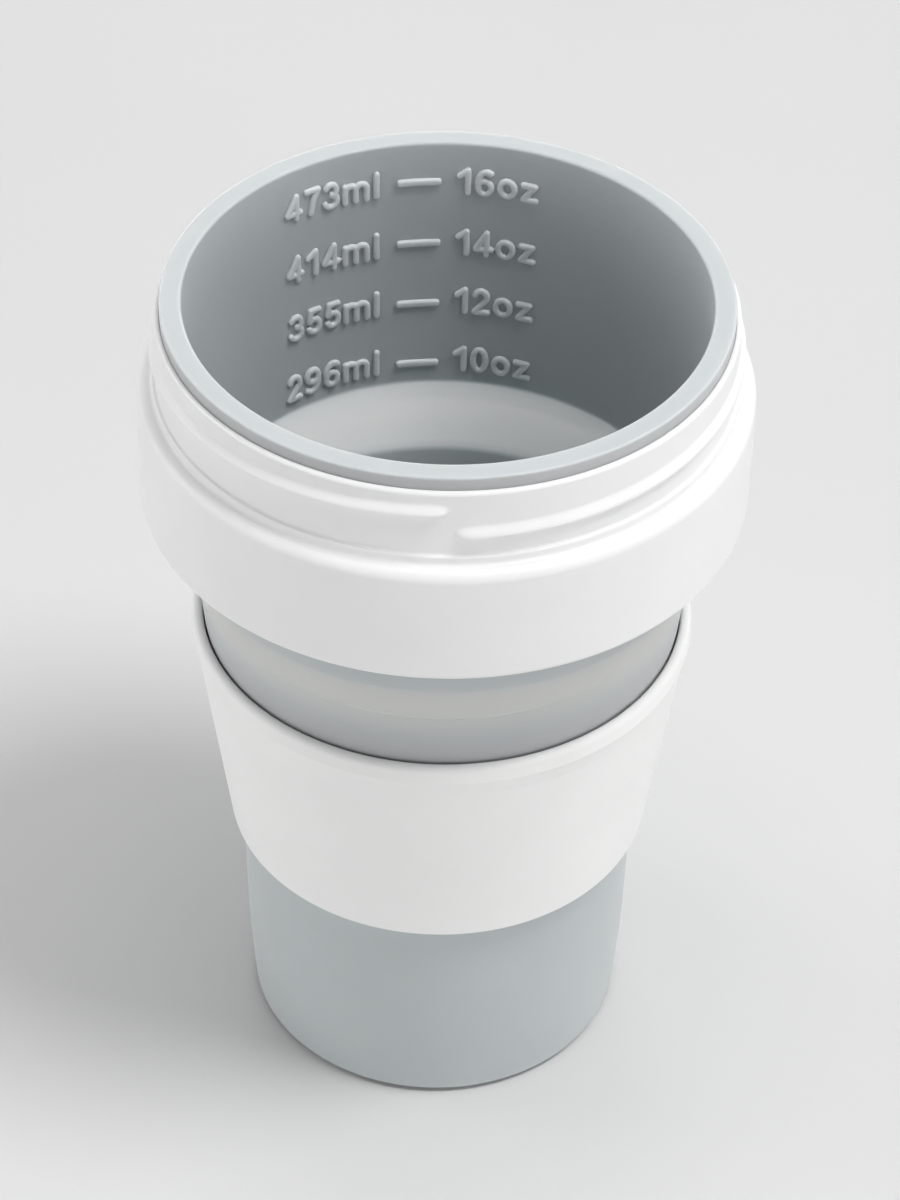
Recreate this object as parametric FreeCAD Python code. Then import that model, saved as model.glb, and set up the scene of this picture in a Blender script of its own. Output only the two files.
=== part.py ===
import FreeCAD, Part
import math
import os

# Collapsible travel cup: a silicone body in three tiers, a rigid threaded collar, and a heat sleeve.
# Millimetres. +Z is up, the origin is the centre of the base's underside,
# and the volume scale inside the cup is at +Y. Every piece is a ring turned about Z.

V = FreeCAD.Vector

# ---- driving dimensions -------------------------------------------------------------------
CUP_HEIGHT = 144.5          # base underside to the top of the drinking lip

# silicone lip and upper tier
LIP_IN_R = 40.3             # bore just under the lip
LIP_OUT_R = 43.68
LIP_BOTTOM_Z = 139.6        # the flange under the lip sits on the collar's rebate here
TIER_OUT_R = 42.0           # where the collar grips the upper tier
TIER_LOW_OUT_R = 41.7
TIER_IN_LOW_R = 39.25       # bore at the foot of the thick wall
TIER_IN_LOW_Z = 97.5
SHOULDER_TOP_Z = 101.2      # the outside turns inwards below here
BEAD_R = 43.3               # bead that snaps under the collar's web
BEAD_DEPTH = 3.0

# fold wall: the thin cone that turns inside out
CREASE_TOP_Z = 93.9
CREASE_BOTTOM_Z = 46.5
FOLD_TOP_R = 39.6
FOLD_BOTTOM_R = 33.1
FOLD_TOP_THICK = 1.5
FOLD_BOTTOM_THICK = 2.2

# base tier
BASE_TOP_R = 32.85
BASE_MID = (32.3, 25.2)     # the wall curves inwards below here
BASE_CURVE = (31.93, 13.3)
BASE_FOOT = (31.1, 1.9)
BASE_WALL = 5.0
BASE_FLOOR = 6.5
FOOT_OUT_R = 29.2           # the ring foot is set in under the wall
FOOT_IN_R = 25.0
FOOT_RECESS = 1.0

# collar
NECK_R = 44.55
NECK_TOP_Z = 142.27
REBATE_R = 43.95
NECK_IN_R = 42.1
STEP_R = 45.2               # small ledge round the foot of the neck
STEP_Z = 130.9
SHELF_Z = 129.4
SKIRT_R = 47.63
SKIRT_WALL = 2.2
SKIRT_BOTTOM_Z = 108.8
WEB_THICK = 3.2

# two-start lid thread, right-hand
THREAD_STARTS = 2
THREAD_FIRST_DEG = -94.7    # where the first ridge begins, at its low end
THREAD_SPAN_DEG = 178.4
THREAD_LOW_Z = 134.95
THREAD_RISE = 4.2
THREAD_PROUD = 0.95
THREAD_ROOT_HALF = 1.3
THREAD_CREST_LOW = -0.5     # the crest's edges from the ridge's middle, so the upper flank is gentle
THREAD_CREST_HIGH = -0.2
THREAD_TAPER_DEG = 3.1
THREAD_ROOT_SINK = 0.4      # how far the ridge's root is let into the neck

# heat sleeve
SLEEVE_TOP_Z = 83.7
SLEEVE_BOTTOM_Z = 41.7
SLEEVE_TOP_IN_R = 38.55
SLEEVE_BOTTOM_R = 34.65
SLEEVE_BOTTOM_WALL = 1.7
RIM_TOP_R = 40.1            # where the rim's flat top and its side would meet
RIM_EDGE_R = 40.35          # the foot of the rim's side, a little proud of the wall
RIM_EDGE_Z = 80.8
RIM_FLARE_R = 39.65         # where the wall starts to flare out to the rim
RIM_FLARE_Z = 77.8

# volume scale: bars inside the upper tier, one step of volume apart
FIRST_BAR_Z = 101.41
BAR_COUNT = 4
BAR_STEP_MM3 = 59147.0      # two US fluid ounces
BAR_HALF_DEG = 5.25
BAR_HALF_HEIGHT = 0.65
BAR_PROUD = 0.6
BAR_SINK = 0.6


# ---- helpers ------------------------------------------------------------------------------
def point(r, z):
    return V(r, 0, z)


def rounded(corners):
    """A closed wire in the XZ plane. A corner is (r, z) or (r, z, fillet radius)."""
    places = [V(c[0], 0, c[1]) for c in corners]
    fillets = [c[2] if len(c) > 2 else 0.0 for c in corners]
    starts, ends, arcs = [], [], []
    for i, here in enumerate(places):
        back = (places[i - 1] - here).normalize()
        ahead = (places[(i + 1) % len(places)] - here).normalize()
        if not fillets[i]:
            starts.append(here)
            ends.append(here)
            arcs.append(None)
            continue
        half = back.getAngle(ahead) / 2
        reach = fillets[i] / math.tan(half)
        middle_way = (back + ahead).normalize()
        centre = here + middle_way * (fillets[i] / math.sin(half))
        starts.append(here + back * reach)
        ends.append(here + ahead * reach)
        arcs.append(centre - middle_way * fillets[i])
    edges = []
    for i, middle in enumerate(arcs):
        if middle is not None:
            edges.append(Part.Arc(starts[i], middle, ends[i]).toShape())
        following = starts[(i + 1) % len(places)]
        if (following - ends[i]).Length > 1e-6:
            edges.append(Part.LineSegment(ends[i], following).toShape())
    return Part.Wire(edges)


def turned(wire):
    """The solid swept by a wire in the XZ plane as it goes once round Z."""
    return Part.Face(wire).revolve(V(0, 0, 0), V(0, 0, 1), 360)


def upper_bore_r(z):
    """Radius of the upper tier's bore, which opens slightly towards the lip."""
    share = (z - TIER_IN_LOW_Z) / (CUP_HEIGHT - TIER_IN_LOW_Z)
    return TIER_IN_LOW_R + share * (LIP_IN_R - TIER_IN_LOW_R)


# ---- silicone body ------------------------------------------------------------------------
def scale_bars():
    """Raised bars on the bore, each one step of volume above the one below."""
    bars, z = [], FIRST_BAR_Z
    for _ in range(BAR_COUNT):
        wall = upper_bore_r(z)
        section = rounded([
            (wall + BAR_SINK, z - BAR_HALF_HEIGHT),
            (wall + BAR_SINK, z + BAR_HALF_HEIGHT),
            (wall - BAR_PROUD, z + BAR_HALF_HEIGHT, 0.25),
            (wall - BAR_PROUD, z - BAR_HALF_HEIGHT, 0.25),
        ])
        bar = Part.Face(section).revolve(V(0, 0, 0), V(0, 0, 1), 2 * BAR_HALF_DEG)
        bar.rotate(V(0, 0, 0), V(0, 0, 1), 90 - BAR_HALF_DEG)
        bars.append(bar)
        z += BAR_STEP_MM3 / (math.pi * upper_bore_r(z + 6) ** 2)
    return bars


def upper_tier():
    """Drinking lip, flange, thick upper wall, retaining bead and the turned-in shoulder."""
    bead_top = SHELF_Z - WEB_THICK - 0.1
    ring = turned(rounded([
        (LIP_IN_R, CUP_HEIGHT, 0.8),
        (LIP_OUT_R, CUP_HEIGHT, 0.6),
        (LIP_OUT_R, LIP_BOTTOM_Z, 0.3),
        (TIER_OUT_R, LIP_BOTTOM_Z),
        (TIER_OUT_R, bead_top),
        (BEAD_R, bead_top, 0.4),
        (BEAD_R, bead_top - BEAD_DEPTH / 2, 0.5),
        (TIER_OUT_R, bead_top - BEAD_DEPTH, 0.5),
        (TIER_LOW_OUT_R, SHOULDER_TOP_Z, 1.6),
        (FOLD_TOP_R + 0.2, CREASE_TOP_Z + 0.8, 0.5),
        (FOLD_TOP_R, CREASE_TOP_Z),
        (FOLD_TOP_R - FOLD_TOP_THICK, CREASE_TOP_Z),
        (TIER_IN_LOW_R, TIER_IN_LOW_Z, 1.0),
    ]))
    return ring.fuse(scale_bars()).removeSplitter()


def fold_wall():
    """The thin cone between the two creases."""
    return turned(rounded([
        (FOLD_TOP_R, CREASE_TOP_Z),
        (FOLD_BOTTOM_R, CREASE_BOTTOM_Z),
        (FOLD_BOTTOM_R - FOLD_BOTTOM_THICK, CREASE_BOTTOM_Z),
        (FOLD_TOP_R - FOLD_TOP_THICK, CREASE_TOP_Z),
    ]))


def base_tier():
    """The bottom cup, with a gently curved wall and a ring foot set in under it."""
    outside = [
        Part.LineSegment(point(BASE_TOP_R, CREASE_BOTTOM_Z), point(*BASE_MID)),
        Part.Arc(point(*BASE_MID), point(*BASE_CURVE), point(*BASE_FOOT)),
        Part.LineSegment(point(*BASE_FOOT), point(BASE_FOOT[0], FOOT_RECESS)),
        Part.LineSegment(point(BASE_FOOT[0], FOOT_RECESS), point(FOOT_OUT_R, FOOT_RECESS)),
        Part.LineSegment(point(FOOT_OUT_R, FOOT_RECESS), point(FOOT_OUT_R, 0)),
        Part.LineSegment(point(FOOT_OUT_R, 0), point(FOOT_IN_R, 0)),
        Part.LineSegment(point(FOOT_IN_R, 0), point(FOOT_IN_R - FOOT_RECESS, FOOT_RECESS)),
        Part.LineSegment(point(FOOT_IN_R - FOOT_RECESS, FOOT_RECESS), point(0, FOOT_RECESS)),
    ]
    in_top, in_low = BASE_TOP_R - BASE_WALL, BASE_FOOT[0] - BASE_WALL
    corner = 4.0
    inside = [
        Part.LineSegment(point(0, FOOT_RECESS), point(0, BASE_FLOOR)),
        Part.LineSegment(point(0, BASE_FLOOR), point(in_low - corner, BASE_FLOOR)),
        Part.Arc(
            point(in_low - corner, BASE_FLOOR),
            point(in_low - 0.3 * corner, BASE_FLOOR + 0.3 * corner),
            point(in_low, BASE_FLOOR + corner),
        ),
        Part.LineSegment(point(in_low, BASE_FLOOR + corner), point(in_top, CREASE_BOTTOM_Z)),
        Part.LineSegment(point(in_top, CREASE_BOTTOM_Z), point(BASE_TOP_R, CREASE_BOTTOM_Z)),
    ]
    return turned(Part.Wire([piece.toShape() for piece in outside + inside]))


# ---- threaded collar ----------------------------------------------------------------------
def thread_section(angle_deg, z, proud):
    """Cross-section of a ridge: a low trapezoid, steeper below, whose root lies inside the neck's wall."""
    a = math.radians(angle_deg)
    root, crest = NECK_R - THREAD_ROOT_SINK, NECK_R + proud
    outline = [
        (root, -THREAD_ROOT_HALF),
        (NECK_R, -THREAD_ROOT_HALF),
        (crest, THREAD_CREST_LOW),
        (crest, THREAD_CREST_HIGH),
        (NECK_R, THREAD_ROOT_HALF),
        (root, THREAD_ROOT_HALF),
    ]
    narrowing = 0.55 + 0.45 * proud / THREAD_PROUD
    places = [V(r * math.cos(a), r * math.sin(a), z + dz * narrowing) for r, dz in outline]
    return Part.makePolygon(places + places[:1])


def thread_ridge(first_deg):
    """One start of the thread, rising to the right round the neck and tapering out at its ends."""
    low_share = 0.25
    steps = [0, 0.5 * THREAD_TAPER_DEG, THREAD_TAPER_DEG]
    plain = THREAD_SPAN_DEG - 2 * THREAD_TAPER_DEG
    along = steps + [THREAD_TAPER_DEG + plain * i / 16 for i in range(1, 16)]
    along += [THREAD_SPAN_DEG - s for s in reversed(steps)]
    sections = []
    for s in along:
        from_end = min(s, THREAD_SPAN_DEG - s) / THREAD_TAPER_DEG
        share = low_share + (1 - low_share) * math.sin(min(1, from_end) * math.pi / 2)
        z = THREAD_LOW_Z + THREAD_RISE * s / THREAD_SPAN_DEG
        sections.append(thread_section(first_deg + s, z, THREAD_PROUD * share))
    return Part.makeLoft(sections, True, True)


def threaded_collar():
    """Neck with its rebate for the lip, the web that grips the silicone, and the outer skirt."""
    ring = turned(rounded([
        (REBATE_R, NECK_TOP_Z, 0.2),
        (NECK_R, NECK_TOP_Z, 0.3),
        (NECK_R, STEP_Z, 0.3),
        (STEP_R, STEP_Z, 0.25),
        (STEP_R, SHELF_Z, 0.4),
        (SKIRT_R, SHELF_Z, 1.6),
        (SKIRT_R, SKIRT_BOTTOM_Z, 1.2),
        (SKIRT_R - SKIRT_WALL, SKIRT_BOTTOM_Z, 0.5),
        (SKIRT_R - SKIRT_WALL, SHELF_Z - WEB_THICK, 0.8),
        (NECK_IN_R, SHELF_Z - WEB_THICK, 0.3),
        (NECK_IN_R, LIP_BOTTOM_Z),
        (REBATE_R, LIP_BOTTOM_Z),
    ]))
    turn = 360 / THREAD_STARTS
    ridges = [thread_ridge(THREAD_FIRST_DEG + turn * i) for i in range(THREAD_STARTS)]
    return ring.fuse(ridges)


# ---- heat sleeve --------------------------------------------------------------------------
def heat_sleeve():
    """A tapered band with a rounded rim. It slides up over the base and stops on the fold wall's taper."""
    return turned(rounded([
        (RIM_TOP_R, SLEEVE_TOP_Z, 1.1),
        (RIM_EDGE_R, RIM_EDGE_Z, 0.2),
        (RIM_FLARE_R, RIM_FLARE_Z, 4.0),
        (SLEEVE_BOTTOM_R, SLEEVE_BOTTOM_Z, 0.4),
        (SLEEVE_BOTTOM_R - SLEEVE_BOTTOM_WALL, SLEEVE_BOTTOM_Z, 0.3),
        (SLEEVE_TOP_IN_R, SLEEVE_TOP_Z, 0.6),
    ]))


def main():
    os.makedirs("parts", exist_ok=True)
    pieces = {
        "upper_tier": upper_tier(),
        "fold_wall": fold_wall(),
        "base_tier": base_tier(),
        "threaded_collar": threaded_collar(),
        "heat_sleeve": heat_sleeve(),
    }
    for name, shape in pieces.items():
        solids = shape.Solids
        print(name, "solids", len(solids), "valid", shape.isValid(), "mm3", round(shape.Volume, 1))
        whole = solids[0] if len(solids) == 1 else Part.makeCompound(solids)
        whole.exportStep("parts/" + name + ".step")


main()
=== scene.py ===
import bpy
import math
from mathutils import Matrix, Vector


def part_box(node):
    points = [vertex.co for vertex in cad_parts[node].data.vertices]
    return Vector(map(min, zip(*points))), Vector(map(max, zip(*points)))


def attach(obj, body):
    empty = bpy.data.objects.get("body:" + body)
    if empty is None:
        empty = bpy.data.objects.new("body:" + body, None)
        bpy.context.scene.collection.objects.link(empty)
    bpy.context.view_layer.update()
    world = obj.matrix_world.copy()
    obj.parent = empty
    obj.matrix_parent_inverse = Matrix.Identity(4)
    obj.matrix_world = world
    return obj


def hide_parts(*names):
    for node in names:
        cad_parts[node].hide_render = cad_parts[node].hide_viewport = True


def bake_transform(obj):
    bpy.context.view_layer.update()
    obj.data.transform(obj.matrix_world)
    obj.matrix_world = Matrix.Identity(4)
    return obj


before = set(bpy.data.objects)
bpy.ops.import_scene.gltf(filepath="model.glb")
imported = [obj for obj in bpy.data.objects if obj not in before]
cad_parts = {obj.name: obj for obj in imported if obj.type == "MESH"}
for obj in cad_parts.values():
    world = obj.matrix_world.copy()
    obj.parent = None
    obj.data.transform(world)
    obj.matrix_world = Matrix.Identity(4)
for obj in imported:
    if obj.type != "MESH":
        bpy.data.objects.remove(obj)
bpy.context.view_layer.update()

# Outlines are written in millimetres, as (radius, height above the table), and MM turns them into metres.
MM = 0.001


def top_of(node):
    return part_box(node)[1].z / MM


def foot_of(node):
    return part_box(node)[0].z / MM


def radius_of(node):
    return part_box(node)[1].x / MM


LIP_TOP = top_of("upper_tier")
LIP_R = radius_of("upper_tier")
CREASE_TOP = foot_of("upper_tier")
CREASE_BOTTOM = foot_of("fold_wall")
BASE_TOP_R = radius_of("base_tier")
NECK_TOP = top_of("threaded_collar")
SKIRT_FOOT = foot_of("threaded_collar")
SKIRT_R = radius_of("threaded_collar")
SLEEVE_TOP = top_of("heat_sleeve")
SLEEVE_FOOT = foot_of("heat_sleeve")
SLEEVE_R = radius_of("heat_sleeve")

# the upper tier's bore opens slightly towards the lip
BORE_LIP_R = 40.3
BORE_FOOT_R = 39.25
BORE_FOOT_Z = 97.5

WEB_FOOT = 126.1            # underside of the collar's web, which the silicone's bead holds
REBATE_FOOT = 139.6         # the lip sits in the collar's rebate above here
REBATE_R = 43.72
WEB_BORE_R = 42.1
BEAD_R = 43.3               # the silicone's retaining bead
NECK_OF_BODY_R = 42.0       # the silicone where it passes through the collar's web


# ---- outlines -----------------------------------------------------------------------------
def arc_through(first, middle, last, pieces):
    """Points on the circle through three points, without the first."""
    (ax, ay), (bx, by), (cx, cy) = first, middle, last
    d = 2 * (ax * (by - cy) + bx * (cy - ay) + cx * (ay - by))
    a2, b2, c2 = ax * ax + ay * ay, bx * bx + by * by, cx * cx + cy * cy
    ox = (a2 * (by - cy) + b2 * (cy - ay) + c2 * (ay - by)) / d
    oy = (a2 * (cx - bx) + b2 * (ax - cx) + c2 * (bx - ax)) / d
    start, end = math.atan2(ay - oy, ax - ox), math.atan2(cy - oy, cx - ox)
    sweep = (end - start + math.pi) % (2 * math.pi) - math.pi
    radius = math.hypot(ax - ox, ay - oy)
    turns = [start + sweep * i / pieces for i in range(1, pieces + 1)]
    return [(ox + radius * math.cos(t), oy + radius * math.sin(t)) for t in turns]


def fillet(before, corner, after, radius):
    """Points of the round that replaces a corner."""
    here = Vector(corner)
    back, ahead = (Vector(before) - here).normalized(), (Vector(after) - here).normalized()
    half = back.angle(ahead) / 2
    reach = radius / math.tan(half)
    centre = here + (back + ahead).normalized() * radius / math.sin(half)
    middle = centre + (here - centre).normalized() * radius
    start, end = here + back * reach, here + ahead * reach
    turn = math.pi - 2 * half
    pieces = max(4, round(turn * 6), math.ceil(radius * turn / 0.35))
    return [tuple(start)] + arc_through(tuple(start), tuple(middle), tuple(end), pieces)


def rounded(corners, closed=True):
    """An outline from corners (r, z) or (r, z, fillet radius)."""
    points, count = [], len(corners)
    for i, c in enumerate(corners):
        if len(c) == 2 or not c[2]:
            points.append(c[:2])
        else:
            points += fillet(corners[i - 1][:2], c[:2], corners[(i + 1) % count][:2], c[2])
    return points + points[:1] if closed else points


def denser(points, step=1.2, support=0.1):
    """Splits long runs, with a support point close to each end so that fillets shade cleanly."""
    out = [points[0]]
    for a, b in zip(points, points[1:]):
        length = math.dist(a, b)
        if length > 4 * support:
            inner = max(1, math.ceil((length - 2 * support) / step))
            shares = [(support + (length - 2 * support) * i / inner) / length for i in range(inner + 1)]
            out += [(a[0] + (b[0] - a[0]) * s, a[1] + (b[1] - a[1]) * s) for s in shares]
        out.append(b)
    return out


def turned(name, outline, segments, raised=None, marks=()):
    """A mesh turned about Z. raised(angle, r, z) gives what to add to the radius, in mm, and marks holds
    functions of (r, z) that are kept on the mesh under their own names for its material to read.
    An outline that ends where it starts is closed, and one that ends on the axis gets a pole there."""
    closed = math.dist(outline[0], outline[-1]) < 1e-6
    rows = outline[:-1] if closed else outline
    verts, starts = [], []
    for r, z in rows:
        starts.append(len(verts))
        if r < 1e-6:
            verts.append((0, 0, z * MM))
            continue
        for i in range(segments):
            a = 2 * math.pi * i / segments
            full = r + (raised(a, r, z) if raised else 0)
            verts.append((full * math.cos(a) * MM, full * math.sin(a) * MM, z * MM))
    faces, pairs = [], list(zip(range(len(rows)), range(1, len(rows))))
    if closed:
        pairs.append((len(rows) - 1, 0))
    for low, high in pairs:
        a, b = starts[low], starts[high]
        for i in range(segments):
            j = (i + 1) % segments
            if rows[low][0] < 1e-6:
                faces.append((a, b + j, b + i))
            elif rows[high][0] < 1e-6:
                faces.append((a + i, a + j, b))
            else:
                faces.append((a + i, a + j, b + j, b + i))
    obj = mesh_object(name, verts, faces)
    for mark in marks:
        values = [mark(r, z) for r, z in rows for _ in range(1 if r < 1e-6 else segments)]
        layer = obj.data.attributes.new(mark.__name__, "FLOAT", "POINT")
        layer.data.foreach_set("value", values)
    return obj


def mesh_object(name, verts, faces):
    mesh = bpy.data.meshes.new(name)
    mesh.from_pydata(verts, [], faces)
    mesh.polygons.foreach_set("use_smooth", [True] * len(mesh.polygons))
    obj = bpy.data.objects.new(name, mesh)
    bpy.context.scene.collection.objects.link(obj)
    return obj


def smooth_share(x):
    x = min(1, max(0, x))
    return x * x * (3 - 2 * x)


def ramp(x, start, end):
    """0 at start and 1 at end, with an eased way between."""
    return smooth_share((x - start) / (end - start))


# ---- silicone body ------------------------------------------------------------------------
LIP_TOP_PAINTED_HIGHLIGHT = 0.21         # shares of each painted tone, where 1 is that tone alone: painted highlight on the lip's top, painted shade on the lip's side, painted warm light at the crease, painted shade above the sleeve
LIP_SIDE_PAINTED_SHADE = 0.35
CREASE_PAINTED_LIGHT = 0.7
BARE_WALL_PAINTED_SHADE = 0.6


def inner_side(r, z):
    """Whether a point of the fold wall is on its inside: nearer the axis than a line up the wall's middle."""
    middle_at_85, lean, extra_lean_above_93 = 37.4, 0.14, 0.2
    return r < middle_at_85 + lean * (z - 85) + extra_lean_above_93 * max(0, z - 93)


def lip_side(r, z):
    return r > LIP_R - 0.3 and z < LIP_TOP - 0.2


def painted_glow_and_highlight(r, z):
    """Painted light: a paler tone inside the bare part of the fold wall, painted as the glow of light coming
    through the thin silicone, and a painted highlight on the lip's top.
    """
    # painted highlight on the lip's top, where light falls on it
    if z > LIP_TOP - 2:
        return LIP_TOP_PAINTED_HIGHLIGHT * ramp(z, LIP_TOP - 0.4, LIP_TOP - 0.05)
    # painted glow of light through the thin fold wall, fading out into the sleeve's shadow below and at the
    # thick tier above
    through_wall = ramp(z, SLEEVE_TOP + 0.6, SLEEVE_TOP + 2.2) * ramp(z, BORE_FOOT_Z + 0.6, BORE_FOOT_Z - 0.7)
    return through_wall if inner_side(r, z) else 0.0


def painted_warm_light(r, z):
    """Painted warm light: a paler, warmer tone on the outside just above and below the upper crease, standing
    in for the light that glows through the thin silicone and bounces up from the sleeve there, and on the
    side of the lip a share of it under the painted shade.
    """
    # on the lip's side, a share of the warm tone that the painted shade goes over
    if z > LIP_TOP - 4:
        return LIP_SIDE_PAINTED_SHADE if lip_side(r, z) else 0.0
    if inner_side(r, z):
        return 0.0
    # painted warm light on the shoulder just above the upper crease, and fading down the fold wall below it
    if z > CREASE_TOP:
        full = CREASE_PAINTED_LIGHT + (1 - CREASE_PAINTED_LIGHT) * ramp(z, CREASE_TOP, CREASE_TOP + 2)
        return min(ramp(z, CREASE_TOP + 9.6, CREASE_TOP + 4.1), full)
    return CREASE_PAINTED_LIGHT * ramp(z, CREASE_TOP - 7, CREASE_TOP)


def painted_shade(r, z):
    """Painted shade: a darker, more neutral grey on the lip's side, which stands in shade, and on the bare
    part of the fold wall, darkest just above the sleeve's rim where the sleeve and the collar's skirt shade
    it.
    """
    # painted shade on the lip's side
    if z > LIP_TOP - 4:
        return LIP_SIDE_PAINTED_SHADE if lip_side(r, z) else 0.0
    if inner_side(r, z) or z > CREASE_TOP:
        return 0.0
    # painted shade on the fold wall, darkest just above the sleeve's rim and fading up to the crease
    return BARE_WALL_PAINTED_SHADE * ramp(z, CREASE_TOP, SLEEVE_TOP + 1) * ramp(z, SLEEVE_TOP - 3, SLEEVE_TOP - 1)


def silicone_body():
    """One moulding: base cup, fold wall, shoulder, thick upper tier, retaining bead and lip."""
    recess, foot_in_r, foot_out_r, floor_z = 1.0, 25.0, 29.2, 6.5
    wall_foot, wall_middle, wall_top = (31.2, 3.0), (31.93, 13.3), (32.3, 25.2)
    base_wall = rounded([
        (0, recess),
        (foot_in_r - recess, recess, 0.6),
        (foot_in_r, 0, 0.4),
        (foot_out_r, 0, 0.25),
        (foot_out_r, recess, 0.15),
        (31.1, recess, 0.25),
        wall_foot,
    ], False)
    base_wall += arc_through(wall_foot, wall_middle, wall_top, 12)
    rest = rounded([
        wall_top,
        (BASE_TOP_R, CREASE_BOTTOM - 0.7, 0.5),
        (BASE_TOP_R - 0.55, CREASE_BOTTOM + 0.5, 0.5),
        (33.0, CREASE_BOTTOM + 1.9, 0.8),
        (38.28, SLEEVE_TOP, 4.0),
        (39.3, CREASE_TOP - 0.3, 0.3),
        (39.9, CREASE_TOP + 0.5, 0.3),
        (41.7, 101.2, 1.8),
        (NECK_OF_BODY_R, WEB_FOOT - 3.0, 0.6),
        (BEAD_R, WEB_FOOT - 1.5, 0.5),
        (BEAD_R, WEB_FOOT, 0.4),
        (NECK_OF_BODY_R, WEB_FOOT, 0.2),
        (NECK_OF_BODY_R, REBATE_FOOT, 0.2),
        (LIP_R, REBATE_FOOT, 0.3),
        (LIP_R, LIP_TOP - 0.05, 0.35),
        (BORE_LIP_R, LIP_TOP, 0.5),
        (BORE_FOOT_R, BORE_FOOT_Z, 5.0),
        (30.8, CREASE_BOTTOM + 1.7, 0.8),
        (31.2, CREASE_BOTTOM + 0.2, 0.6),
        (27.9, CREASE_BOTTOM - 1.6, 1.6),
        (26.2, floor_z, 4.0),
        (0, floor_z),
    ], False)
    outline = denser(base_wall + rest[1:])
    obj = turned("silicone_body", outline, 180, marks=(painted_glow_and_highlight, painted_warm_light, painted_shade))
    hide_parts("upper_tier", "fold_wall", "base_tier")
    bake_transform(obj)
    return obj


# ---- volume scale -------------------------------------------------------------------------
CAP_HEIGHT = 5.2
STROKE = 0.21               # stroke width as a share of the cap height
PROUD = 0.6                 # how far the marks stand out of the bore
FIGURES_PAINTED_HIGHLIGHT = 0.45         # painted highlight: how much paler the raised marks are painted than the wall, for the light their faces catch
FIRST_BAR_Z = 101.41
STEP_MM3 = 59147.0          # two US fluid ounces
# each row's words, the first one's left end in degrees from +X, and how far their middle is above the bar
SCALE_ROWS = (
    ("296ml", "10oz", 124.5, 0.85),
    ("355ml", "12oz", 123.6, 0.6),
    ("414ml", "14oz", 123.6, 0.15),
    ("473ml", "16oz", 123.6, 0.15),
)
LEFT_TEXT_END_DEG = 99.2
RIGHT_TEXT_DEG = (81.6, 62.4)
BAR_DEG = (95.4, 84.9)
BAR_HALF = 0.55             # half the width of a stroke of the bar
BAR_SHIFT = 0.1             # the bar is two strokes this far above and below its height


def bore_r(z):
    share = (z - BORE_FOOT_Z) / (LIP_TOP - BORE_FOOT_Z)
    return BORE_FOOT_R + share * (BORE_LIP_R - BORE_FOOT_R)


def oval(x, y, rx, ry, first=0, last=360):
    """Points on part of an ellipse, in a glyph's own square."""
    count = max(6, round(abs(last - first) / 12))
    turns = [math.radians(first + (last - first) * i / count) for i in range(count + 1)]
    return [(x + rx * math.cos(t), y + ry * math.sin(t)) for t in turns]


def glyph(letter):
    """(width, strokes): the centre lines of a character whose cap height is 1."""
    six = [oval(0.3, 0.33, 0.2, 0.23), oval(0.36, 0.5, 0.26, 0.4, 60, 190)]
    nine = [[(0.6 - x, 1 - y) for x, y in stroke] for stroke in six]
    shapes = {
        "0": (0.6, [oval(0.3, 0.5, 0.2, 0.4)]),
        "1": (0.5, [[(0.1, 0.7), (0.36, 0.9)], [(0.36, 0.9), (0.36, 0.1)]]),
        "2": (0.6, [oval(0.3, 0.68, 0.19, 0.22, 165, -38) + [(0.1, 0.1)], [(0.1, 0.1), (0.51, 0.1)]]),
        "3": (0.6, [oval(0.29, 0.7, 0.18, 0.2, 155, -80), oval(0.29, 0.32, 0.21, 0.22, 80, -155)]),
        "4": (0.64, [[(0.43, 0.9), (0.1, 0.32)], [(0.1, 0.3), (0.57, 0.3)], [(0.43, 0.9), (0.43, 0.1)]]),
        "5": (0.6, [[(0.48, 0.9), (0.18, 0.9)], [(0.18, 0.9), (0.13, 0.53)],
                    oval(0.3, 0.34, 0.2, 0.24, 140, -150)]),
        "6": (0.6, six),
        "7": (0.58, [[(0.1, 0.9), (0.5, 0.9)], [(0.5, 0.9), (0.33, 0.55), (0.24, 0.1)]]),
        "9": (0.6, nine),
        "m": (0.94, [[(0.1, 0.1), (0.1, 0.66)], oval(0.28, 0.48, 0.18, 0.18, 165, 0) + [(0.46, 0.1)],
                     oval(0.64, 0.48, 0.18, 0.18, 165, 0) + [(0.82, 0.1)]]),
        "l": (0.24, [[(0.12, 0.1), (0.12, 0.9)]]),
        "o": (0.66, [oval(0.33, 0.38, 0.23, 0.27)]),
        "z": (0.58, [[(0.1, 0.63), (0.48, 0.63)], [(0.48, 0.63), (0.1, 0.12)], [(0.1, 0.12), (0.5, 0.12)]]),
    }
    return shapes[letter]


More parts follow.
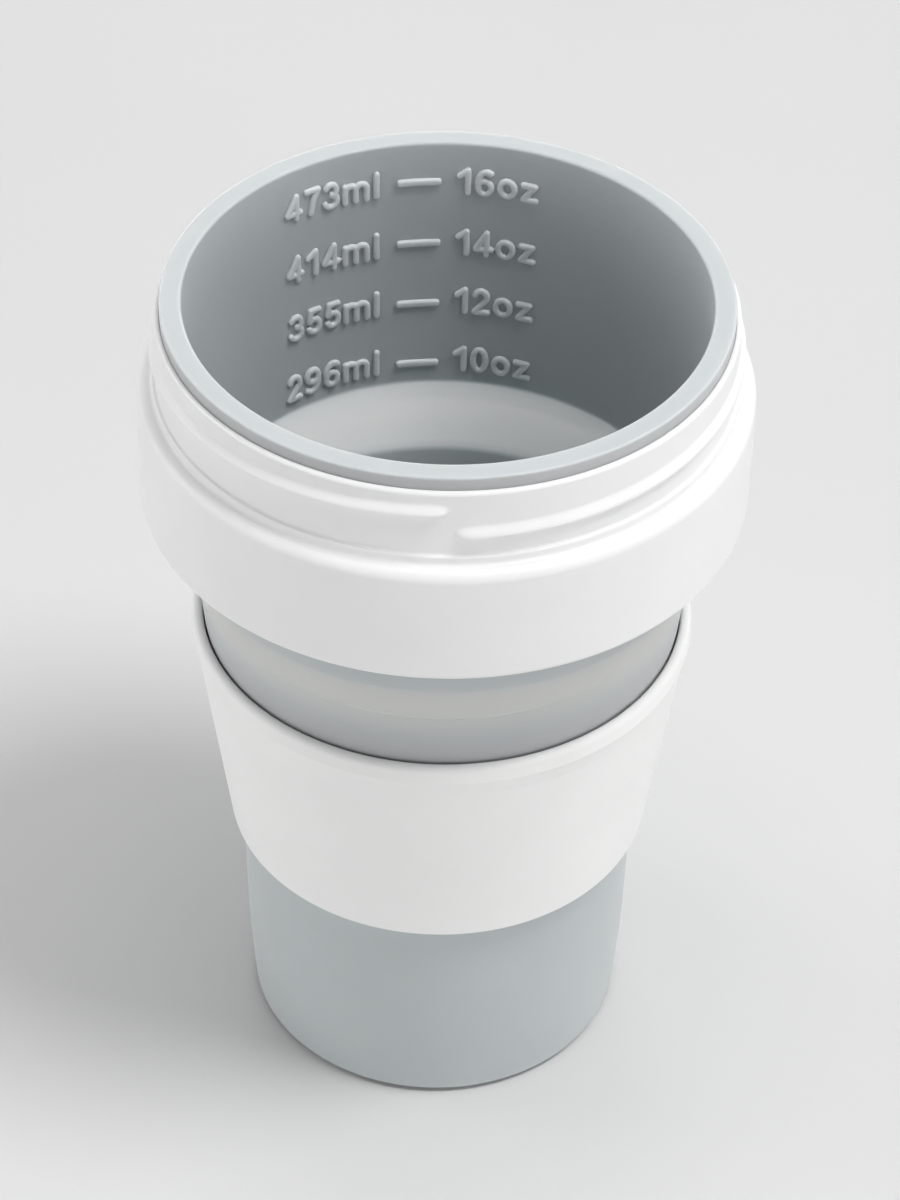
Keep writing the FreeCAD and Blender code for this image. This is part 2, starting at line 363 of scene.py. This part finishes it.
def stroke_mesh(path, across, verts, faces):
    """Adds a round-ended bar of half width across along a flat path. Its height is squashed later."""
    sides, cap = 12, 4
    rings = []
    for i, here in enumerate(path):
        ahead, behind = path[min(i + 1, len(path) - 1)], path[max(i - 1, 0)]
        way = (Vector(ahead) - Vector(behind)).normalized()
        rings.append((Vector(here), way, across))
    ends = [math.pi / 2 * i / cap for i in range(1, cap)]
    (first, first_way, _), (last, last_way, _) = rings[0], rings[-1]
    front = [(first - first_way * across * math.sin(t), first_way, across * math.cos(t)) for t in ends]
    back = [(last + last_way * across * math.sin(t), last_way, across * math.cos(t)) for t in ends]
    rings = front[::-1] + rings + back
    base = len(verts)
    for centre, way, radius in rings:
        side = Vector((-way.y, way.x))
        for k in range(sides):
            a = 2 * math.pi * k / sides
            flat = centre + side * radius * math.cos(a)
            verts.append((flat.x, flat.y, radius * math.sin(a)))
    for i in range(len(rings) - 1):
        for k in range(sides):
            a, b = base + i * sides, base + (i + 1) * sides
            n = (k + 1) % sides
            faces.append((a + k, a + n, b + n, b + k))
    faces.append(tuple(base + k for k in reversed(range(sides))))
    end = base + (len(rings) - 1) * sides
    faces.append(tuple(end + k for k in range(sides)))


def word_strokes(word, width):
    """The strokes of a word, in mm from its left end and its mid height, spaced out to fill a width."""
    glyphs = [glyph(letter) for letter in word]
    gap = (width / CAP_HEIGHT - sum(advance for advance, _ in glyphs)) / (len(word) - 1)
    placed, x = [], 0
    for advance, strokes in glyphs:
        for stroke in strokes:
            placed.append([((x + px) * CAP_HEIGHT, (py - 0.5) * CAP_HEIGHT) for px, py in stroke])
        x += advance + gap
    return placed


def scale_row(row, z, verts, faces):
    """One row of the scale, flat: its words and its bar, as mm along the bore and mm up."""
    arc = math.radians(1) * bore_r(z)
    left_word, right_word, left_start, lift = row
    words = ((left_word, left_start, LEFT_TEXT_END_DEG), (right_word, *RIGHT_TEXT_DEG))
    for word, left, right in words:
        shift = (90 - left) * arc
        for stroke in word_strokes(word, (left - right) * arc):
            path = [(px + shift, py + z + lift) for px, py in stroke]
            stroke_mesh(path, STROKE * CAP_HEIGHT / 2, verts, faces)
    left, right = ((90 - angle) * arc for angle in BAR_DEG)
    for shift in (-BAR_SHIFT, BAR_SHIFT):
        ends = [(left + BAR_HALF, z + shift), (right - BAR_HALF, z + shift)]
        stroke_mesh(ends, BAR_HALF, verts, faces)


def volume_scale():
    """Raised figures and bars, moulded on the bore in line with +Y."""
    verts, faces, z = [], [], FIRST_BAR_Z
    for row in SCALE_ROWS:
        scale_row(row, z, verts, faces)
        z += STEP_MM3 / (math.pi * bore_r(z + 6) ** 2)
    obj = mesh_object("volume_scale", verts, faces)
    remesh = obj.modifiers.new("fuse", "REMESH")
    remesh.mode = "VOXEL"
    remesh.voxel_size = 0.13
    smooth = obj.modifiers.new("soften", "SMOOTH")
    smooth.factor = 0.5
    smooth.iterations = 3
    bpy.context.view_layer.update()
    final = bpy.data.meshes.new_from_object(obj.evaluated_get(bpy.context.evaluated_depsgraph_get()))
    obj.modifiers.clear()
    for v in final.vertices:
        along, up, height = v.co
        share = min(1, abs(height) / (STROKE * CAP_HEIGHT / 2))
        flat_topped = (1 - (1 - share * share) ** 1.5) ** (1 / 3)
        r = bore_r(up) - math.copysign(PROUD * flat_topped, height)
        a = math.pi / 2 - along / bore_r(up)
        v.co = (r * math.cos(a) * MM, r * math.sin(a) * MM, up * MM)
    final.flip_normals()
    final.polygons.foreach_set("use_smooth", [True] * len(final.polygons))
    obj.data = final
    # painted highlight: all of the figures are given the paler tone, standing in for the light that their
    # raised faces catch
    layer = final.attributes.new(painted_glow_and_highlight.__name__, "FLOAT", "POINT")
    layer.data.foreach_set("value", [FIGURES_PAINTED_HIGHLIGHT] * len(final.vertices))
    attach(obj, "collar")
    return obj


# ---- threaded collar ----------------------------------------------------------------------
NECK_R = 44.55
THREAD_STARTS = 2
THREAD_FIRST_DEG = -94.7
THREAD_SPAN_DEG = 178.4
THREAD_LOW_Z = 134.95       # height of a ridge's middle at its low end
THREAD_RISE = 4.2
THREAD_PROUD = 0.95
THREAD_ROOT_HALF = 1.3
THREAD_CREST = (-0.5, -0.3)  # the crest's lower and upper edge from the middle, for a gentle upper flank
THREAD_ROW_STEP = 0.16      # mm between the rows of the mesh that carry the thread
THREAD_TAPER = 2.4          # length over which a ridge narrows to its pointed end


def thread_height(angle, r, z):
    """How far the thread stands out of the neck: two ridges with rounded crests and pointed ends."""
    if abs(r - NECK_R) > 0.01 or z < THREAD_LOW_Z - 2:
        return 0
    tallest = 0
    for start in range(THREAD_STARTS):
        middle = THREAD_FIRST_DEG + 360 / THREAD_STARTS * start + THREAD_SPAN_DEG / 2
        from_middle = (math.degrees(angle) - middle + 180) % 360 - 180
        from_tip = (THREAD_SPAN_DEG / 2 - abs(from_middle)) * math.radians(1) * NECK_R
        if from_tip <= 0:
            continue
        full = math.sqrt(1 - (1 - min(1, from_tip / THREAD_TAPER)) ** 2)
        centre_z = THREAD_LOW_Z + THREAD_RISE * (from_middle / THREAD_SPAN_DEG + 0.5)
        up = (z - centre_z) / full
        crest_low, crest_high = THREAD_CREST
        above = (THREAD_ROOT_HALF - up) / (THREAD_ROOT_HALF - crest_high)
        below = (THREAD_ROOT_HALF + up) / (THREAD_ROOT_HALF + crest_low)
        flank = max(0, min(1, above, below))
        tallest = max(tallest, full * smooth_share(flank))
    return THREAD_PROUD * tallest


def threaded_collar():
    """Neck with its thread, the rebate that holds the lip, the web, and the skirt."""
    skirt_in, web_foot = SKIRT_R - 2.2, WEB_FOOT + 0.1
    step_r, step_z, shelf_z = 45.2, 130.9, 129.4
    outline = rounded([
        (REBATE_R, NECK_TOP, 0.1),
        (NECK_R, NECK_TOP, 0.6),
        (NECK_R, step_z, 0.35),
        (step_r, step_z, 0.28),
        (step_r, shelf_z, 0.5),
        (SKIRT_R, shelf_z, 1.7),
        (SKIRT_R, SKIRT_FOOT, 1.2),
        (skirt_in, SKIRT_FOOT, 0.5),
        (skirt_in, web_foot, 0.8),
        (WEB_BORE_R, web_foot, 0.3),
        (WEB_BORE_R, REBATE_FOOT, 0.2),
        (REBATE_R, REBATE_FOOT, 0.2),
    ])
    obj = turned("threaded_collar_shell", neck_rows(denser(outline, 3.0)), 460, thread_height)
    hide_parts("threaded_collar")
    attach(obj, "collar")
    return obj


def neck_rows(outline):
    """Adds rows where the thread lies, close enough together to carry its shape."""
    out = [outline[0]]
    for a, b in zip(outline, outline[1:]):
        on_neck = abs(a[0] - NECK_R) < 0.001 and abs(b[0] - NECK_R) < 0.001
        if on_neck and max(a[1], b[1]) > THREAD_LOW_Z - 1.5:
            count = math.ceil(abs(b[1] - a[1]) / THREAD_ROW_STEP)
            out += [(NECK_R, a[1] + (b[1] - a[1]) * i / count) for i in range(1, count)]
        out.append(b)
    return out


# ---- heat sleeve --------------------------------------------------------------------------
def heat_sleeve():
    """A tapered band with a rounded rim, which stands a little proud of the wall."""
    top_in_r, foot_r, foot_wall = 38.55, 34.65, 1.7
    rim_top_r, rim_edge_z, flare_start = 40.1, 80.8, (39.65, 77.8)
    outline = rounded([
        (rim_top_r, SLEEVE_TOP, 1.1),
        (SLEEVE_R, rim_edge_z, 0.2),
        (*flare_start, 4.0),
        (foot_r, SLEEVE_FOOT, 0.35),
        (foot_r - foot_wall, SLEEVE_FOOT, 0.3),
        (top_in_r, SLEEVE_TOP, 0.6),
    ])
    obj = turned("heat_sleeve_band", denser(outline), 360)
    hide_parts("heat_sleeve")
    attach(obj, "sleeve")
    return obj


# ---- materials ----------------------------------------------------------------------------
def node(tree, kind, **values):
    made = tree.nodes.new(kind)
    for key, value in values.items():
        if key in made.inputs:
            made.inputs[key].default_value = value
        else:
            setattr(made, key, value)
    return made


def noise(tree, scale, detail=2.0, rough=0.5):
    """A noise in the object's own metres, so that its grain has a real size."""
    place = node(tree, "ShaderNodeTexCoord")
    made = node(tree, "ShaderNodeTexNoise", Scale=scale, Detail=detail, Roughness=rough)
    tree.links.new(place.outputs["Object"], made.inputs["Vector"])
    return made.outputs["Fac"]


def spread(tree, source, low, high):
    """Maps a noise's middle range to low..high."""
    made = node(tree, "ShaderNodeMapRange")
    made.inputs["From Min"].default_value = 0.3
    made.inputs["From Max"].default_value = 0.7
    made.inputs["To Min"].default_value = low
    made.inputs["To Max"].default_value = high
    tree.links.new(source, made.inputs["Value"])
    return made.outputs["Result"]


def bump(tree, height, strength, distance, before=None):
    made = node(tree, "ShaderNodeBump", Strength=strength, Distance=distance)
    tree.links.new(height, made.inputs["Height"])
    if before:
        tree.links.new(before, made.inputs["Normal"])
    return made.outputs["Normal"]


def mixed(tree, share, first, second):
    """Blends two colours, or a socket and a colour, by a socket."""
    made = node(tree, "ShaderNodeMix", data_type="RGBA")
    tree.links.new(share, made.inputs["Factor"])
    colour_inputs, colour_output = (6, 7), 2     # the node has these for each of its data types
    for value, place in zip((first, second), colour_inputs):
        if isinstance(value, bpy.types.NodeSocket):
            tree.links.new(value, made.inputs[place])
        else:
            made.inputs[place].default_value = (*value, 1)
    return made.outputs[colour_output]


def new_material(name):
    made = bpy.data.materials.new(name)
    made.use_nodes = True
    return made, made.node_tree, made.node_tree.nodes["Principled BSDF"]


def marked(tree, mark):
    """A value that turned() kept on the mesh."""
    return node(tree, "ShaderNodeAttribute", attribute_name=mark.__name__).outputs["Fac"]


SILICONE_DARKER, SILICONE_LIGHTER = (0.485, 0.520, 0.530), (0.505, 0.538, 0.548)
# tones of painted light and shade: warm light at the crease, shade on the lip's side and above the sleeve,
# and a pale glow and highlight
PAINTED_WARM_LIGHT_TONE, PAINTED_SHADE_TONE, PAINTED_GLOW_TONE = (0.575, 0.58, 0.562), (0.42, 0.42, 0.43), (0.905, 0.92, 0.93)


def silicone_material(name, depth):
    """Blue-grey silicone: satin, faintly mottled, with painted light and shade in its colour: a paler painted
    glow where the wall is thin enough to pass light, a painted highlight on the lip's top, painted warm light
    round the upper crease, and painted shade on the lip's side and above the sleeve.
    depth is how far light spreads inside it, in metres."""
    made, tree, shader = new_material(name)
    tone = mixed(tree, spread(tree, noise(tree, 55, 4), 0, 1), SILICONE_DARKER, SILICONE_LIGHTER)
    # the painted light and shade go over the silicone's own mottled tone: warm light, then shade, then the
    # pale glow and highlight
    tone = mixed(tree, marked(tree, painted_warm_light), tone, PAINTED_WARM_LIGHT_TONE)
    tone = mixed(tree, marked(tree, painted_shade), tone, PAINTED_SHADE_TONE)
    tone = mixed(tree, marked(tree, painted_glow_and_highlight), tone, PAINTED_GLOW_TONE)
    tree.links.new(tone, shader.inputs["Base Color"])
    tree.links.new(spread(tree, noise(tree, 90, 3), 0.46, 0.56), shader.inputs["Roughness"])
    shader.inputs["Subsurface Weight"].default_value = 0.8
    shader.inputs["Subsurface Radius"].default_value = (1.0, 1.0, 0.95)
    shader.inputs["Subsurface Scale"].default_value = depth
    shader.inputs["IOR"].default_value = 1.41
    shader.inputs["Sheen Weight"].default_value = 0.06
    shader.inputs["Sheen Roughness"].default_value = 0.4
    grain = bump(tree, noise(tree, 3200, 3, 0.6), 0.10, 0.00008)
    wave = bump(tree, noise(tree, 70, 2), 0.12, 0.0006, grain)
    tree.links.new(wave, shader.inputs["Normal"])
    return made


def moulded_white(name, colour, rough, grain_size, grain_strength, depth):
    """White moulded plastic with a spark-eroded grain."""
    made, tree, shader = new_material(name)
    shade = tuple(c * 0.965 for c in colour)
    tone = mixed(tree, spread(tree, noise(tree, 45, 4), 0, 1), shade, colour)
    tree.links.new(tone, shader.inputs["Base Color"])
    tree.links.new(spread(tree, noise(tree, 120, 3), rough - 0.04, rough + 0.05), shader.inputs["Roughness"])
    shader.inputs["Subsurface Weight"].default_value = 0.12
    shader.inputs["Subsurface Radius"].default_value = (1.0, 0.95, 0.9)
    shader.inputs["Subsurface Scale"].default_value = depth
    shader.inputs["IOR"].default_value = 1.49
    grain = bump(tree, noise(tree, 1 / grain_size, 3, 0.65), grain_strength, 0.00006)
    wave = bump(tree, noise(tree, 60, 2), 0.08, 0.0004, grain)
    tree.links.new(wave, shader.inputs["Normal"])
    return made


def paint(obj, material):
    obj.data.materials.clear()
    obj.data.materials.append(material)


# ---- stage, lights and camera -------------------------------------------------------------
def floor():
    """A pale seamless floor, lit from within far behind the cup so that low views don't see it go dark."""
    half = 12.0
    corners = [(-half, -half, 0), (half, -half, 0), (half, half, 0), (-half, half, 0)]
    obj = mesh_object("floor", corners, [(0, 1, 2, 3)])
    made, tree, shader = new_material("floor_paper")
    tone = mixed(tree, spread(tree, noise(tree, 6, 3), 0, 1), (0.69, 0.69, 0.69), (0.71, 0.71, 0.71))
    tree.links.new(tone, shader.inputs["Base Color"])
    shader.inputs["Roughness"].default_value = 0.75
    tree.links.new(bump(tree, noise(tree, 900, 3), 0.05, 0.0002), shader.inputs["Normal"])
    place = node(tree, "ShaderNodeTexCoord")
    away = node(tree, "ShaderNodeVectorMath", operation="LENGTH")
    glow_starts, glow_full, glow_most = 0.7, 3.0, 0.25      # metres from the cup, and the strength reached
    glow = node(tree, "ShaderNodeMapRange")
    limits = {"From Min": glow_starts, "From Max": glow_full, "To Min": 0.0, "To Max": glow_most}
    for name, value in limits.items():
        glow.inputs[name].default_value = value
    tree.links.new(place.outputs["Object"], away.inputs[0])
    tree.links.new(away.outputs["Value"], glow.inputs["Value"])
    tree.links.new(glow.outputs["Result"], shader.inputs["Emission Strength"])
    shader.inputs["Emission Color"].default_value = (1, 1, 1, 1)
    paint(obj, made)


def soft_light(name, azimuth, height, away, size, power):
    """A round soft light aimed at the cup: where it stands from +X and above the horizon, in degrees."""
    turn, lift = math.radians(azimuth), math.radians(height)
    aim = Vector((0, 0, 0.08))
    way = Vector((math.cos(turn) * math.cos(lift), math.sin(turn) * math.cos(lift), math.sin(lift)))
    data = bpy.data.lights.new(name, "AREA")
    data.shape = "DISK"
    data.size = size
    data.energy = power
    obj = bpy.data.objects.new(name, data)
    obj.location = aim + way * away
    obj.rotation_euler = (-way).to_track_quat("-Z", "Y").to_euler()
    obj.visible_camera = False
    bpy.context.scene.collection.objects.link(obj)


def lights():
    soft_light("key", azimuth=-27, height=64.5, away=2.2, size=0.8, power=26.4)
    soft_light("overhead", azimuth=0, height=90, away=2.2, size=1.8, power=14.6)
    soft_light("back_fill", azimuth=90, height=12, away=2.2, size=1.6, power=12)
    soft_light("left_fill", azimuth=157, height=15, away=2.2, size=1.2, power=8.5)
    soft_light("right_fill", azimuth=-15, height=22, away=2.2, size=1.2, power=2)
    studio_world()


def studio_world():
    """Studio walls: bright along the horizon and dark overhead, where only the soft lights are."""
    world = bpy.data.worlds.new("studio")
    world.use_nodes = True
    tree = world.node_tree
    way = node(tree, "ShaderNodeTexCoord")
    parts = node(tree, "ShaderNodeSeparateXYZ")
    wall = node(tree, "ShaderNodeValToRGB")
    rise = ((0.13, 1.0), (0.27, 0.45), (0.47, 0.36), (0.6, 0.04))
    stops = wall.color_ramp.elements
    for _ in rise[2:]:
        stops.new(0.5)
    for stop, (place, glow) in zip(stops, rise):
        stop.position = place
        stop.color = (glow, glow, glow, 1)
    tree.links.new(way.outputs["Generated"], parts.inputs["Vector"])
    tree.links.new(parts.outputs["Z"], wall.inputs["Fac"])
    back = tree.nodes["Background"]
    tree.links.new(wall.outputs["Color"], back.inputs["Color"])
    back.inputs["Strength"].default_value = 1.65
    bpy.context.scene.world = world


CAMERA_AZIMUTH = -97.1      # where the camera stands, in degrees from +X
CAMERA_OUT = 0.4778
CAMERA_UP = 0.5004
CAMERA_PITCH = 41.116       # below the horizon
CAMERA_YAW = 0.12
CAMERA_ROLL = 1.22
CAMERA_LENS = 118.08


def turned_pair(first, second, angle):
    """Two square directions, turned so that the first moves towards the second."""
    share, rest = math.sin(angle), math.cos(angle)
    return first * rest + second * share, second * rest - first * share


def camera():
    turn = Matrix.Rotation(math.radians(CAMERA_AZIMUTH + 90), 3, "Z")
    pitch, yaw, roll = (math.radians(x) for x in (CAMERA_PITCH, CAMERA_YAW, CAMERA_ROLL))
    ahead = Vector((0, math.cos(pitch), -math.sin(pitch)))
    up = Vector((0, math.sin(pitch), math.cos(pitch)))
    right = Vector((1, 0, 0))
    ahead, right = turned_pair(ahead, right, yaw)
    right, up = turned_pair(right, up, roll)
    data = bpy.data.cameras.new("camera")
    data.lens = CAMERA_LENS
    data.sensor_width = 36
    obj = bpy.data.objects.new("camera", data)
    axes = Matrix((turn @ right, turn @ up, turn @ -ahead)).transposed()
    obj.matrix_world = Matrix.Translation(turn @ Vector((0, -CAMERA_OUT, CAMERA_UP))) @ axes.to_4x4()
    bpy.context.scene.collection.objects.link(obj)
    bpy.context.scene.camera = obj


def main():
    bpy.context.scene.view_settings.view_transform = "Standard"
    paint(silicone_body(), silicone_material("silicone", 0.0019))
    paint(volume_scale(), silicone_material("silicone_figures", 0.0004))
    paint(threaded_collar(), moulded_white(
        "collar_plastic", (0.86, 0.86, 0.86),
        rough=0.42, grain_size=0.0003, grain_strength=0.12, depth=0.0012,
    ))
    paint(heat_sleeve(), moulded_white(
        "sleeve_plastic", (0.89, 0.89, 0.885),
        rough=0.5, grain_size=0.0004, grain_strength=0.1, depth=0.0015,
    ))
    floor()
    lights()
    camera()


main()
